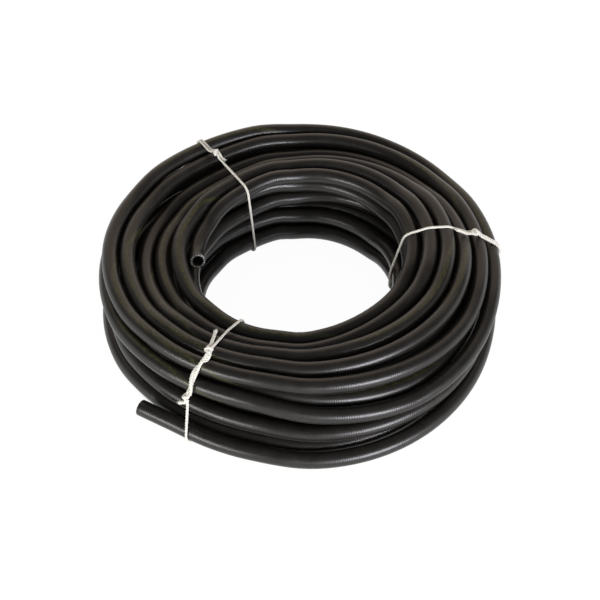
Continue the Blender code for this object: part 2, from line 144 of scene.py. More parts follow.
CREST = 0.57                    # of a ply, from the string's middle, in its diameters
PLY_DEPTH = 0.12                # half that of the grooves, as a share of the crest
FRAY_FIBRES = 16
FIBRE_RADIUS = 0.17 * MM
SWAY_PLANES = 3                 # upright planes in which a swaying string clears the strands
SWAY_RADIUS = 230.0 * MM        # about where a string sways, from the coil's axis

# Each string crosses the coil at an angle.  Places along a string are given as the way they
# face from the middle of the strands: 0 out, 90 up, 180 to the eye, degrees.  Sways are such
# places, each with how far the string lies aside of its plane there.  Fullness is how much
# thicker it is where it lies doubled.
TIES = (
    {"name": "tie_right", "angle": 6.0, "doubled": (20.0, 58.0), "knots": (50.0,),
     "sways": ((0.0, 0.0),), "fullness": 1.20,
     "tails": ({"length": 6.0 * MM, "lean": 0.20}, {"length": 20.0 * MM, "lean": -0.05})},
    {"name": "tie_back_left", "angle": 122.0, "doubled": (16.0, 72.0), "knots": (64.0,),
     "sways": ((0.0, 0.0),), "fullness": 1.0,
     "tails": ({"length": 7.0 * MM, "lean": 0.30}, {"length": 9.0 * MM, "lean": -0.06})},
    {"name": "tie_front_left", "angle": 241.5, "doubled": (22.0, 84.0), "knots": (22.0, 73.0),
     "sways": ((-160.0, 0.0), (-80.0, 9.0 * MM), (-35.0, 9.0 * MM), (22.0, 0.0), (69.0, 6.0 * MM),
               (125.0, 0.0)), "fullness": 1.28,
     "tails": ({"length": 4.0 * MM, "lean": 2.20}, {"length": 25.0 * MM, "lean": -0.25})},
)

# Stage.  The coil's middle lies a little to the left of the picture's middle, and above it
AIM_HEIGHT = 40.0 * MM          # of the coil's middle
SENSOR_WIDTH = 36.0             # millimetres
PICTURE_WIDTH = 600.0           # pixels
COIL_LEFT = 4.9                 # pixels
COIL_ABOVE = 23.7
FLOOR_REACH = 8.0               # from the middle to each side
FLOOR_DROP = 0.2 * MM
PAPER_GLOW = 1.04               # strength at which the paper shows white to the camera
PAPER_SHOWN = 0.92              # share of that white where the coil doesn't shade the paper
SHADE_ASIDE = (8.0 * MM, -15.0 * MM, 0.0)
SHADE_BEGINS = (0.132, 0.140)   # radii of the shaded ring under the coil, each with a soft edge
SHADE_ENDS = (0.236, 0.226)
AIR_GLOW = 0.50                 # strength of the world where surfaces spread its light
BACKDROP_RISE = (0.15, 0.35)    # sines of the angles between which the backdrop ends, in gloss
BACKDROP_GLOW = 0.8
ROOM_GLOW = 0.12                # the dim room above the backdrop
# Two low softboxes in front draw the highlights, and a warm lit wall behind the tops of the
# strands: name, place, size, watts, colour
LAMPS = (
    ("softbox_right", (1.50, -2.10, 0.60), (1.2, 0.65), 78.0, "f6f6fd"),
    ("softbox_left", (-1.83, -1.83, 0.60), (1.5, 0.65), 46.0, "f8f7f4"),
    ("wall_behind", (0.0, 2.40, 1.45), (5.0, 2.70), 32.0, "ffe6d0"),
)


def linear(hex_colour):
    """Linear red, green, blue and alpha of an sRGB hex colour."""
    parts = [int(hex_colour[i:i + 2], 16) / 255.0 for i in (0, 2, 4)]
    return tuple([p / 12.92 if p <= 0.04045 else ((p + 0.055) / 1.055) ** 2.4 for p in parts] + [1.0])


def colour_setting(name, hex_colour, description):
    return bpy.props.FloatVectorProperty(name=name, description=description, subtype="COLOR",
                                         size=4, min=0.0, max=1.0, default=linear(hex_colour))


def length_setting(name, default, description):
    return bpy.props.FloatProperty(name=name, description=description, default=default,
                                   min=0.0, subtype="DISTANCE", unit="LENGTH", precision=5)


class HoseSettings(bpy.types.PropertyGroup):
    """Sizes and colours of the hose."""
    diameter: length_setting("Diameter", 19.0 * MM, "Outside of the hose's cover")
    bore: length_setting("Bore", 12.7 * MM, "Inside of the hose's liner")
    eye_radius: length_setting("Eye radius", 125.0 * MM, "To the middle of the innermost strands")
    ring_spacing: length_setting("Ring spacing", 9.8 * MM, "Between two rings of the hose's mesh")
    bore_depth: length_setting("Bore depth", 150.0 * MM, "How deep the bore is open at each end")
    rubber: colour_setting("Rubber", "12110f", "Black rubber of the cover")
    bloom: colour_setting("Bloom", "1f1c18", "Grey-brown bloom on the cover")
    marking: colour_setting("Marking", "4a4d20", "Faded olive line along the cover")


class YarnSettings(bpy.types.PropertyGroup):
    """Sizes and colours of the reinforcing yarn in the cut ends."""
    ring_diameter: length_setting("Ring diameter", 15.4 * MM, "Middle of the ring of yarn ends")
    thickness: length_setting("Thickness", 1.0 * MM, "One yarn end across")
    count: bpy.props.IntProperty(name="Count", description="Yarn ends in one cut face",
                                 default=14, min=3, max=40)
    colour: colour_setting("Colour", "e8e8e4", "White polyester yarn")


class StringSettings(bpy.types.PropertyGroup):
    """Sizes and colours of the three strings."""
    diameter: length_setting("Diameter", 2.8 * MM, "One string across")
    lay: length_setting("Lay", 11.0 * MM, "Length in which the three plies turn once")
    plies: bpy.props.IntProperty(name="Plies", description="Plies twisted into the string",
                                 default=3, min=2, max=5)
    colour: colour_setting("Colour", "d3d0c7", "Undyed cotton")
    # The shade colour is painted shade, towards which the grooves between the plies are darkened
    shade: colour_setting("Shade", "b4b0a6", "Cotton in the grooves between the plies")


class StageSettings(bpy.types.PropertyGroup):
    """Camera and floor."""
    elevation: bpy.props.FloatProperty(name="Elevation", description="Camera above the horizon",
                                       default=math.radians(44.2), subtype="ANGLE")
    distance: length_setting("Distance", 1.559, "Camera to the middle of the coil")
    lens: bpy.props.FloatProperty(name="Lens", description="Focal length in millimetres",
                                  default=75.96, min=1.0)
    floor: colour_setting("Floor", "f4f4f2", "Pale studio floor")


# ---- Route of the hose

def smoothstep(share):
    share = np.clip(share, 0.0, 1.0)
    return share * share * (3.0 - 2.0 * share)


def smooth_bump(theta, stretch):
    """1 in the middle of a stretch of the coil, falling to 0 at its spread to either side."""
    near = (theta - math.radians(stretch["middle"]) + math.pi) % TURN - math.pi
    spread = math.radians(stretch["spread"])
    return np.where(np.abs(near) < spread, 0.5 + 0.5 * np.cos(math.pi * near / spread), 0.0)


def bearings(angle):
    """Level directions out from the coil's axis and round it, at an angle."""
    out = np.array([math.cos(angle), math.sin(angle), 0.0])
    return out, np.array([-out[1], out[0], 0.0])


def walked_along(points):
    """Length walked to each point."""
    return np.concatenate([[0.0], np.cumsum(np.linalg.norm(np.diff(points, axis=0), axis=1))])


def pass_ends():
    """Loops laid and column reached at each end of a pass."""
    ends = [(0.0, FOOT_COLUMNS)]
    for loops, column in ((FOOT_LOOPS, FOOT_INNER),
                          (PASS_COLUMNS - FOOT_INNER, PASS_COLUMNS),
                          (CROSSING_LOOPS, 0.0),
                          (EYE_REST_LOOPS, 0.0),
                          (PASS_COLUMNS, PASS_COLUMNS),
                          (PASS_COLUMNS, 0.0)):
        ends.append((ends[-1][0] + loops, column))
    return ends


def by_pass(values, loops, ends):
    """A value of each pass along the strand, changing over where the pass turns round."""
    level = np.zeros_like(loops)
    for reversal in (1, 2, 5):
        at = ends[reversal][0]
        level += np.interp(loops, (at - REVERSAL_LOOPS, at + REVERSAL_LOOPS), (0.0, 1.0))
    return np.interp(level, range(len(values)), values)


def columns(loops, ends):
    """Column of the strand after so many loops, with each reversal rounded off."""
    at, to = zip(*ends)
    rate_in = (to[1] - to[0]) / (at[1] - at[0])
    rate_out = (to[-1] - to[-2]) / (at[-1] - at[-2])
    total = np.zeros_like(loops)
    weights = 0.0
    for step in np.linspace(-1.0, 1.0, REVERSAL_SAMPLES):
        weight = 1.0 - REVERSAL_FADE * abs(step)
        x = loops + step * REVERSAL_LOOPS
        value = np.interp(x, at, to)
        value = value + np.minimum(x - at[0], 0.0) * rate_in
        value = value + np.maximum(x - at[-1], 0.0) * rate_out
        total += weight * value
        weights += weight
    return total / weights


def settled_height(rho, floor, pitch):
    """Height of each point of the strand, laid in order on the floor and on earlier loops."""
    reach = max(1, round(SETTLE_LOOPS * STEPS_PER_LOOP))
    count = len(rho)
    climb = np.zeros(count)
    bridged = np.zeros(count)
    height = np.zeros(count)
    for i in range(count + 2 * reach):
        if i < count:
            for j in range(i - STEPS_PER_LOOP, -1, -STEPS_PER_LOOP):
                aside = abs(rho[i] - rho[j])
                if aside < pitch:
                    rest = height[j] + math.sqrt(pitch ** 2 - aside ** 2)
                    climb[i] = max(climb[i], rest - floor[i])
        k = i - reach
        if 0 <= k < count:
            bridged[k] = climb[max(0, k - reach):min(count, i + 1)].max()
        m = i - 2 * reach
        if 0 <= m < count:
            height[m] = floor[m] + bridged[max(0, m - reach):min(count, k + 1)].mean()
    return height


def wound_route(hose, string_diameter):
    """Loops laid and points of the hose's middle line, free end first, in the coil's own place."""
    ends = pass_ends()
    count = STEPS_PER_POINT * round(STEPS_PER_LOOP * ends[-1][0] / STEPS_PER_POINT)
    loops = ends[-1][0] - np.arange(count, -1, -1) / STEPS_PER_LOOP
    theta = math.radians(INNER_END_ANGLE) + TURN * (loops - ends[-1][0])

    pitch = np.full(count + 1, hose.diameter + STRAND_GAP + STRAND_SLACK)
    for bulge in BULGES:
        pitch += by_pass(bulge["room"], loops, ends) * smooth_bump(theta, bulge)
    rho = hose.eye_radius + pitch * columns(loops, ends)
    for shift in SHIFTS:
        rho += by_pass(shift["out"], loops, ends) * smooth_bump(theta, shift)
    rho += by_pass(DRIFT_RIGHT, loops, ends) * np.cos(theta)
    rho += by_pass(DRIFT_BACK, loops, ends) * np.sin(theta)
    rho += OVAL[0] * np.sin(2.0 * theta + math.radians(OVAL[1]))
    rho += TRIANGLE[0] * np.sin(3.0 * theta + math.radians(TRIANGLE[1]))

    near_tie = np.zeros_like(theta)
    for tie in TIES:
        off = np.degrees((theta - math.radians(tie["angle"]) + math.pi) % TURN - math.pi)
        near_tie = np.maximum(near_tie, smoothstep((TIE_REACH - np.abs(off)) / TIE_SLOPE))
    under_string = string_diameter + 2.0 * STRING_CLEARANCE + FLAT_DEPTH
    floor = hose.diameter / 2 - FLAT_DEPTH + under_string * near_tie
    floor += (FREE_END_LIFT + FLAT_DEPTH) * np.maximum(0.0, 1.0 - loops / FREE_END_SINKS) ** 2
    height = settled_height(rho, floor, hose.diameter + STRAND_GAP)
    route = np.stack([rho * np.cos(theta), rho * np.sin(theta), height], axis=1)

    def around(place, turned=0.0):
        return bearings(math.atan2(place[1], place[0]) + math.radians(turned))[1]

    rise = math.radians(INNER_END_RISE)
    ahead = math.cos(rise) * around(route[-1], INNER_END_TURN)
    ahead[2] = math.sin(rise)
    free = route[0] - around(route[0]) * FREE_END_LENGTH
    loops = np.concatenate([[loops[0] - FREE_END_LOOPS], loops, [loops[-1] + INNER_END_LOOPS]])
    return loops, np.vstack([free, route, route[-1] + ahead * INNER_END_LENGTH])


def eased(points, spacing):
    """Points at an even spacing on a smooth curve through the given ones."""
    walked = walked_along(points)
    slope = np.gradient(points, walked, axis=0)
    stations = np.linspace(0.0, walked[-1], max(2, round(walked[-1] / spacing)) + 1)
    at = np.clip(np.searchsorted(walked, stations, side="right") - 1, 0, len(walked) - 2)
    run = (walked[at + 1] - walked[at])[:, None]
    share = (stations - walked[at])[:, None] / run
    cube, square = share ** 3, share ** 2
    line = (2 * cube - 3 * square + 1) * points[at] + (cube - 2 * square + share) * run * slope[at]
    line += (3 * square - 2 * cube) * points[at + 1] + (cube - square) * run * slope[at + 1]
    return stations, line


def of_length_one(directions):
    return directions / np.linalg.norm(directions, axis=-1, keepdims=True)


def level_frames(points):
    """Along, outward and upward directions at each point, never twisted about the line."""
    along = of_length_one(np.gradient(points, axis=0))
    outward = of_length_one(np.cross(along, (0.0, 0.0, 1.0)))
    return along, outward, np.cross(outward, along)


def carried_frames(points, first_side):
    """Along, side and facing directions, the side carried along the line without twist."""
    along = of_length_one(np.gradient(points, axis=0))
    sides = np.empty_like(along)
    side = np.asarray(first_side, float)
    for i, ahead in enumerate(along):
        side = of_length_one(side - ahead * (side @ ahead))
        sides[i] = side
    return along, sides, np.cross(along, sides)


class CoilPlace:
    """Where the coil lies: its route, moved to where the solids are in the frame."""

    def __init__(self, settings):
        loops, route = wound_route(settings.hose, settings.string.diameter)
        facing = of_length_one(route[-1] - route[-2])
        low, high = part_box("inner_end_yarns")
        middle = (np.array(low) + np.array(high)) / 2
        self.shift = middle + facing * (YARN_STUB - YARN_PROUD) / 2 - route[-1]
        self.shift[2] = 0.0
        self.loops = loops
        self.route = route + self.shift


# ---- Meshes

def lay_skin(bm, centres, side, upward, radii, length_marks, turn_marks, least_z=None):
    """Bend a flat grid into a tube, one row of it to each centre, and close its seam.

    radii has a row for each centre and a column for each point around.  The grid's own UV map
    becomes turns around and metres along.
    """
    rows, sides = radii.shape
    grid = bmesh.new()
    uv_layer = grid.loops.layers.uv.new("skin")
    bmesh.ops.create_grid(grid, x_segments=sides, y_segments=rows - 1, size=0.5, calc_uvs=True)
    for vert in grid.verts:
        k = round((vert.co.x + 0.5) * sides)
        row = round((vert.co.y + 0.5) * (rows - 1))
        angle = TURN * k / sides
        place = centres[row] + radii[row][k % sides] * (math.cos(angle) * side[row]
                                                        + math.sin(angle) * upward[row])
        if least_z is not None and place[2] < least_z:
            place[2] = least_z
        vert.co = place
    for face in grid.faces:
        for loop in face.loops:
            mark = loop[uv_layer].uv
            row = round(mark.y * (rows - 1))
            mark.x += turn_marks[row]
            mark.y = length_marks[row]
    bmesh.ops.remove_doubles(grid, verts=grid.verts, dist=1.0e-6)
    part = bpy.data.meshes.new("skin")
    grid.to_mesh(part)
    grid.free()
    bm.from_mesh(part)
    bpy.data.meshes.remove(part)


def place_new(name, data):
    """A new object of a mesh, lamp or camera, in the scene."""
    item = bpy.data.objects.new(name, data)
    bpy.context.scene.collection.objects.link(item)
    return item


def show(name, bm, material, node, sharp_angle=60.0):
    """Make the object of a mesh, faces out and rounds smooth, and tie it to the frame."""
    bmesh.ops.recalc_face_normals(bm, faces=bm.faces)
    mesh = bpy.data.meshes.new(name)
    bm.to_mesh(mesh)
    bm.free()
    for polygon in mesh.polygons:
        polygon.use_smooth = True
    mesh.set_sharp_from_angle(angle=math.radians(sharp_angle))
    mesh.materials.append(material)
    piece = place_new(name, mesh)
    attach(piece, "root")
    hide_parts(node)
    return piece


# ---- Materials

def add_node(tree, kind, inputs=(), **settings):
    """Add a shader node with its settings.

    inputs are values, nodes or sockets, in the order of its own sockets or by their names.
    """
    node = tree.nodes.new("ShaderNode" + kind)
    for key, value in settings.items():
        setattr(node, key, value)
    for socket, value in inputs.items() if isinstance(inputs, dict) else enumerate(inputs):
        if isinstance(value, bpy.types.Node):
            value = value.outputs[0]
        if isinstance(value, bpy.types.NodeSocket):
            tree.links.new(value, node.inputs[socket])
        else:
            node.inputs[socket].default_value = value
    return node


def blank_material(name):
    material = bpy.data.materials.new(name)
    material.use_nodes = True
    material.node_tree.nodes.clear()
    return material, material.node_tree


def cured_rubber(hose):
    """Black EPDM rubber cured in a cloth wrap.

    The wrap leaves fine ribs across the hose, which break the highlights, and handling leaves a
    grey-brown bloom on it.  One faded olive line runs along the cover.
    """
    material, tree = blank_material("rubber_cured_in_cloth")
    place = add_node(tree, "TexCoord")
    marks = add_node(tree, "SeparateXYZ", [place.outputs["UV"]])
    around, along = marks.outputs[0], marks.outputs[1]

    # Imprint of the wrap: fine ribs across the hose, wavering a little
    waver = add_node(tree, "Math", [around, 3.0 * TURN], operation="MULTIPLY")
    waver = add_node(tree, "Math", [waver], operation="SINE")
    waver = add_node(tree, "Math", [waver, 0.5], operation="MULTIPLY")
    phase = add_node(tree, "Math", [along, TURN / RIB_SPACING, waver], operation="MULTIPLY_ADD")
    imprint = add_node(tree, "Math", [phase], operation="SINE")

    # Slow unevenness of the cover, some 18 mm across, and dust in specks of a millimetre
    uneven = add_node(tree, "TexNoise", {"Vector": place.outputs["Object"], "Scale": 55.0,
                                         "Detail": 4.0, "Roughness": 0.6})
    dust = add_node(tree, "TexNoise", {"Vector": place.outputs["Object"], "Scale": 900.0, "Detail": 2.0})

    # The line, half a turn round: 5 mm wide with soft edges, worn into patches about 7 mm long
    near_line = add_node(tree, "Math", [around, 0.5], operation="PINGPONG")
    line = add_node(tree, "MapRange", [near_line, 0.43, 0.48])
    stretched = add_node(tree, "Mapping", {"Vector": place.outputs["UV"], "Scale": (25.0, 150.0, 1.0)})
    worn = add_node(tree, "TexNoise", {"Vector": stretched.outputs[0], "Scale": 1.0, "Detail": 3.0,
                                       "Roughness": 0.7})
    left = add_node(tree, "MapRange", [worn, 0.38, 0.70, 0.0, 0.65])
    marking = add_node(tree, "Math", [line, left], operation="MULTIPLY")

    bloomed = add_node(tree, "MapRange", [uneven, 0.35, 0.75, 0.15, 0.8])
    dusty = add_node(tree, "MapRange", [dust, 0.62, 0.8, 0.0, 0.35])
    colour = tuple(hose.rubber)
    for share, over in ((bloomed, hose.bloom), (dusty, linear("4a4740")), (marking, hose.marking)):
        mixed = add_node(tree, "Mix", {0: share, 6: colour, 7: tuple(over)}, data_type="RGBA")
        colour = mixed.outputs[2]
    polish = add_node(tree, "MapRange", [uneven, 0.3, 0.7, 0.32, 0.38])
    roughness = add_node(tree, "Math", [imprint, 0.02, polish], operation="MULTIPLY_ADD")
    ribbed = add_node(tree, "Bump", {"Strength": 1.0, "Distance": RIB_DEPTH, "Height": imprint})
    bumped = add_node(tree, "Bump", {"Strength": 0.12, "Distance": 0.6 * MM, "Height": uneven,
                                     "Normal": ribbed})
    shader = add_node(tree, "BsdfPrincipled", {"Base Color": colour, "Roughness": roughness,
                                               "IOR": 1.5, "Normal": bumped})
    add_node(tree, "OutputMaterial", [shader])
    return material


def twisted_cotton(string):
    """Undyed cotton twine, softly twisted: matt, a little fuzzy, painted shade between plies."""
    material, tree = blank_material("twisted_cotton")
    place = add_node(tree, "TexCoord")
    marks = add_node(tree, "SeparateXYZ", [place.outputs["UV"]])
    around, along = marks.outputs[0], marks.outputs[1]

    # Fibres lie in each ply along its twist, about 0.25 mm apart as drawn
    on_ply = add_node(tree, "Math", [along, -1.0 / string.lay, around], operation="MULTIPLY_ADD")
    across = add_node(tree, "Math", [on_ply, 34.0], operation="MULTIPLY")
    onward = add_node(tree, "Math", [along, 420.0], operation="MULTIPLY")
    drawn = add_node(tree, "CombineXYZ", [across, onward])
    fibres = add_node(tree, "TexNoise", {"Vector": drawn, "Scale": 1.0, "Detail": 3.0, "Roughness": 0.65})

    # Painted shade: darker in the grooves between the plies; mottled by the fibres
    groove = add_node(tree, "Math", [on_ply, TURN * string.plies], operation="MULTIPLY")
    groove = add_node(tree, "Math", [groove], operation="COSINE")
    painted_groove_shade = add_node(tree, "MapRange", [groove, -1.0, 0.2, 0.40, -0.45])
    mottled = add_node(tree, "Math", [fibres, 0.9, painted_groove_shade], operation="MULTIPLY_ADD", use_clamp=True)
    colour = add_node(tree, "Mix", {0: mottled, 6: tuple(string.colour), 7: tuple(string.shade)},
                      data_type="RGBA")
    bumped = add_node(tree, "Bump", {"Strength": 0.6, "Distance": 0.15 * MM, "Height": fibres})
    shader = add_node(tree, "BsdfPrincipled", {"Base Color": colour.outputs[2], "Roughness": 0.92,
                                               "Sheen Weight": 0.15, "Sheen Roughness": 0.6,
                                               "Specular IOR Level": 0.25, "Normal": bumped})
    add_node(tree, "OutputMaterial", [shader])
    return material


def cut_polyester(yarn):
    """Cut ends of polyester yarn: bundles of fine filaments, grey where rubber dust clings."""
    material, tree = blank_material("cut_polyester_yarn")
    place = add_node(tree, "TexCoord").outputs["Object"]
    filaments = add_node(tree, "TexVoronoi", {"Vector": place, "Scale": 5200.0})
    grime = add_node(tree, "TexNoise", {"Vector": place, "Scale": 700.0, "Detail": 2.0})
    dirt = add_node(tree, "MapRange", [grime, 0.45, 0.7, 0.0, 0.5])
    colour = add_node(tree, "Mix", {0: dirt, 6: tuple(yarn.colour), 7: linear("5b5a57")},
                      data_type="RGBA")
    bumped = add_node(tree, "Bump", {"Strength": 0.5, "Distance": 0.1 * MM,
                                     "Height": filaments.outputs["Distance"]})
    shader = add_node(tree, "BsdfPrincipled", {"Base Color": colour.outputs[2], "Roughness": 0.75,
                                               "Normal": bumped})
    add_node(tree, "OutputMaterial", [shader])
    return material


def studio_floor(colour, shade_middle):
    """Pale seamless paper: white to the camera and in gloss, and it keeps a soft shadow."""
    material, tree = blank_material("studio_paper")
    paper = add_node(tree, "BsdfDiffuse", {"Color": tuple(colour)})
    white = add_node(tree, "Emission", {"Color": (1.0, 1.0, 1.0, 1.0), "Strength": PAPER_GLOW})
    ray = add_node(tree, "LightPath").outputs
    seen = add_node(tree, "Math", [ray["Is Camera Ray"], ray["Is Glossy Ray"]], operation="MAXIMUM")
    seen = add_node(tree, "Math", [seen, ray["Is Transmission Ray"]], operation="MAXIMUM")

    # Under the coil the paper lies in its shade
    place = add_node(tree, "TexCoord")
    off_middle = add_node(tree, "VectorMath", [place.outputs["Object"], shade_middle],
                          operation="DISTANCE").outputs["Value"]
    begins = add_node(tree, "MapRange", [off_middle, *SHADE_BEGINS])
    ends = add_node(tree, "MapRange", [off_middle, *SHADE_ENDS])
    shade = add_node(tree, "Math", [begins, ends], operation="MULTIPLY")
    lit = add_node(tree, "MapRange", [shade, 0.0, 1.0, PAPER_SHOWN, 0.0])
    share = add_node(tree, "Math", [seen, lit], operation="MULTIPLY")
    mixed = add_node(tree, "MixShader", [share, paper, white])
    add_node(tree, "OutputMaterial", [mixed])
    return material


# ---- Strings

def crossing_points(points, angle, centre):
    """Where the hose crosses an upright plane through the coil's axis: (rho, z, slant).

    slant is how much longer the hose's section is there than a square one.
    """
    radial, normal = bearings(angle)
    side = (points - centre) @ normal
    found = []
    for i in np.nonzero((side[:-1] < 0.0) != (side[1:] < 0.0))[0]:
        run = points[i + 1] - points[i]
        place = points[i] + run * side[i] / (side[i] - side[i + 1]) - centre
        if place @ radial > 0.0:
            found.append((place @ radial, place[2], np.linalg.norm(run) / abs(run @ normal)))
    return found


def taut_path(strands, half, clear):
    """Closed line of a taut string round the strands: the hull of circles about them."""
    dots = []
    for rho, z, slant in strands:
        reach = slant * half + clear
        for k in range(HULL_DOTS):
            turn = TURN * k / HULL_DOTS
            dots.append((rho + reach * math.cos(turn), z + reach * math.sin(turn)))
    dots.sort()

    def half_hull(ordered):
        hull = []
        for dot in ordered:
            while len(hull) > 1 and ((hull[-1][0] - hull[-2][0]) * (dot[1] - hull[-2][1])
                                     <= (hull[-1][1] - hull[-2][1]) * (dot[0] - hull[-2][0])):
                hull.pop()
            hull.append(dot)
        return hull[:-1]

    hull = np.array(half_hull(dots) + half_hull(dots[::-1]))
    loop = np.vstack([hull, hull[:1]])
    walked = walked_along(loop)
    stations = np.linspace(0.0, walked[-1], PATH_POINTS, endpoint=False)
    return np.stack([np.interp(stations, walked, loop[:, k]) for k in (0, 1)], axis=1)


class StringLine:
    """The line of one string round the coil, read by the length walked from the eye, underneath."""

    def __init__(self, coil, settings, tie):
        angle = math.radians(tie["angle"])
        self.radial, self.across = bearings(angle)
        self.centre = coil.shift
        self.sways = [aside for degrees, aside in tie["sways"]]
        strands = []
        for aside in np.linspace(0.0, max(self.sways), SWAY_PLANES if max(self.sways) > 0.0 else 1):
            strands += crossing_points(coil.route, angle + aside / SWAY_RADIUS, coil.shift)
        clear = STRING_CLEARANCE + settings.string.diameter / 2
        self.path = taut_path(strands, settings.hose.diameter / 2, clear)
        self.middle = self.path.mean(axis=0)
        self.loop = np.vstack([self.path, self.path[:1]])
        self.walked = walked_along(self.loop)
        self.sway_places = [self.facing(degrees) for degrees, aside in tie["sways"]]

    def flat_place(self, walked):
        walked = walked % self.walked[-1]
        return np.array([np.interp(walked, self.walked, self.loop[:, k]) for k in (0, 1)])

    def place(self, walked, aside=0.0, lift=0.0):
        """A point so far along the string, moved across it and off the coil."""
        rho, z = self.flat_place(walked)
        ahead = of_length_one(self.flat_place(walked + 2 * MM) - self.flat_place(walked - 2 * MM))
        rho += lift * ahead[1]
        z -= lift * ahead[0]
        aside += np.interp(walked % self.walked[-1], self.sway_places, self.sways)
        return self.centre + self.radial * rho + self.across * aside + np.array([0.0, 0.0, z])

    def facing(self, degrees):
        """Length walked to the point that faces this way from the middle of the strands."""
        turned = np.arctan2(self.path[:, 1] - self.middle[1], self.path[:, 0] - self.middle[0])
        off = (turned - math.radians(degrees) + math.pi) % TURN - math.pi
        return self.walked[int(np.argmin(np.abs(off)))]


def knotted_way(line, tie, thick):
    """Points of one whole string, in the same places as its solid, and how full it is there.

    It starts as a tail, runs once round the coil, and where it meets itself again it winds
    round its first run.  At each knot it is wound tight twice and crosses back over itself.
    """
    beside = thick + STRING_CLEARANCE + STRING_PLAY
    start = line.facing(tie["doubled"][0])
    stop = line.facing(tie["doubled"][1])
    whole = line.walked[-1]
    if stop < start:
        stop += whole
    knots = [line.facing(degrees) for degrees in tie["knots"]]
    knots = sorted(knot + whole if knot < start else knot for knot in knots)
    half_knot = HALF_KNOT * beside
    join = JOIN * thick
    first_tail, last_tail = tie["tails"]
    snug, hump = SNUG * thick, HUMP * thick

    def first_run(walked):
        past = max(0.0, start - join - walked)
        aside = -0.5 * beside * (1.0 - smoothstep((walked - start + join) / join))
        off_knot = min(abs(walked - knot) for knot in knots) - half_knot
        lift = beside * (1.0 - smoothstep(off_knot / join))
        return aside - first_tail["lean"] * past, lift + TAIL_RISE * past

    way = []
    fullness = []
    for walked in np.arange(start - join - first_tail["length"], stop, STRING_STEP):
        way.append(line.place(walked, *first_run(walked)))
        fullness.append(tie["fullness"])
    for walked in np.arange(stop, start - join + whole, LONE_STEP):
        way.append(line.place(walked))
        fullness.append(1.0)

    # The second run: beside the first, once round it between two knots, tight round it in them
    steps = []
    walked = start - join
    turned = 0.0
    for knot in knots:
        free = np.arange(walked, knot - half_knot, STRING_STEP)
        eased_in = (free - walked) / max(knot - half_knot - walked, MM)
        wound = 0.0 if walked < start else TURN
        steps += zip(free, turned + wound * eased_in, np.full(len(free), beside))
        turns = 2.5 if knot == knots[-1] else 3.0
        share = np.linspace(0.0, 1.0, KNOT_POINTS)
        out = smoothstep((share - KNOT_SHARES[1]) / HUMP_RISE)
        out -= 0.5 * smoothstep((share - KNOT_SHARES[2]) / (1.0 - KNOT_SHARES[2]))
        steps += zip(knot + half_knot * np.interp(share, KNOT_SHARES, KNOT_ALONG),
                     turned + TURN * np.interp(share, KNOT_SHARES, (0.0, 2.0, 2.5, turns)),
                     snug + hump * out)
        walked = knot + KNOT_LEFT * half_knot
        turned += TURN * turns
    steps += [(at, turned, beside) for at in np.arange(walked, stop + last_tail["length"], STRING_STEP)]
    for at, angle, over in steps:
        past = max(0.0, at - stop)
        aside, lift = first_run(at)
        if at < start:
            aside = 0.0
        aside += over * math.cos(angle) * smoothstep((at - start + join) / join)
        lift += over * math.sin(angle) + TAIL_RISE * past
        way.append(line.place(at, aside + last_tail["lean"] * past, lift))
        fullness.append(KNOT_FULLNESS if over < beside else tie["fullness"])
    return np.array(way), np.array(fullness)


def soften(points, rounds):
    """Round off a line's corners, keeping its ends."""
    points = points.copy()
    for _ in range(rounds):
        points[1:-1] = 0.25 * points[:-2] + 0.5 * points[1:-1] + 0.25 * points[2:]
    return points


def add_fray(bm, tip, ahead, side, string, draws):
    """Loose fibres that splay from a cut tail, each a fine tapering tube."""
    facing = np.cross(ahead, side)
    for _ in range(FRAY_FIBRES):
        turned = draws.uniform(0.0, TURN)
        spread = draws.uniform(0.05, 0.42)
        reach = draws.uniform(0.55, 1.25) * 1.5 * string.diameter
        out = math.cos(turned) * side + math.sin(turned) * facing
        root = tip - ahead * 0.3 * string.diameter + out * draws.uniform(0.1, 0.36) * string.diameter
        shares = np.linspace(0.0, 1.0, 6)[:, None]
        curl = draws.uniform(-0.25, 0.25)
        line = root + reach * (shares * ahead + spread * shares ** 1.5 * out
                               + curl * shares ** 2 * np.cross(ahead, out))
        _, sides, facings = carried_frames(line, out)
        radius = FIBRE_RADIUS * np.array([0.0, 1.0, 1.0, 0.85, 0.65, 0.0])
        line[0] = line[1]
        radii = np.repeat(radius[:, None], 5, axis=1)
        lay_skin(bm, line, sides, facings, radii, np.linspace(0.0, reach, 6), np.zeros(6))


